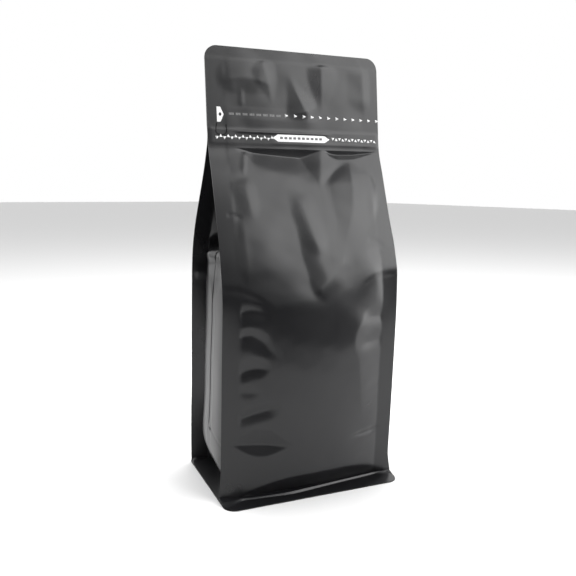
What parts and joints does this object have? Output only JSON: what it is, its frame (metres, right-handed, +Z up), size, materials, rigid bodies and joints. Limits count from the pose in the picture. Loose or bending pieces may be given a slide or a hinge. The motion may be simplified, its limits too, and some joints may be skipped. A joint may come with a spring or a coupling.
{
  "type": "flat-bottom pouch",
  "caption": "Filled flat-bottom film pouch with side gussets, corner seal fins, a sealed flange at the base, and a zipper under a heat-sealed top.",
  "frame": {"origin": "on the floor under the pouch, midway between the sides and a little behind the middle of its base", "axes": "+Z up along the pouch's height, -Y towards the printed front panel, +X to the right of that panel as seen from the front"},
  "size_m": [0.142, 0.1046, 0.327],
  "materials": {
    "film": "black laminated film with a satin, slightly uneven surface",
    "print": "white ink printed on the film"
  },
  "bodies": {
    "root": {"pouch": "film"}
  },
  "joints": []
}
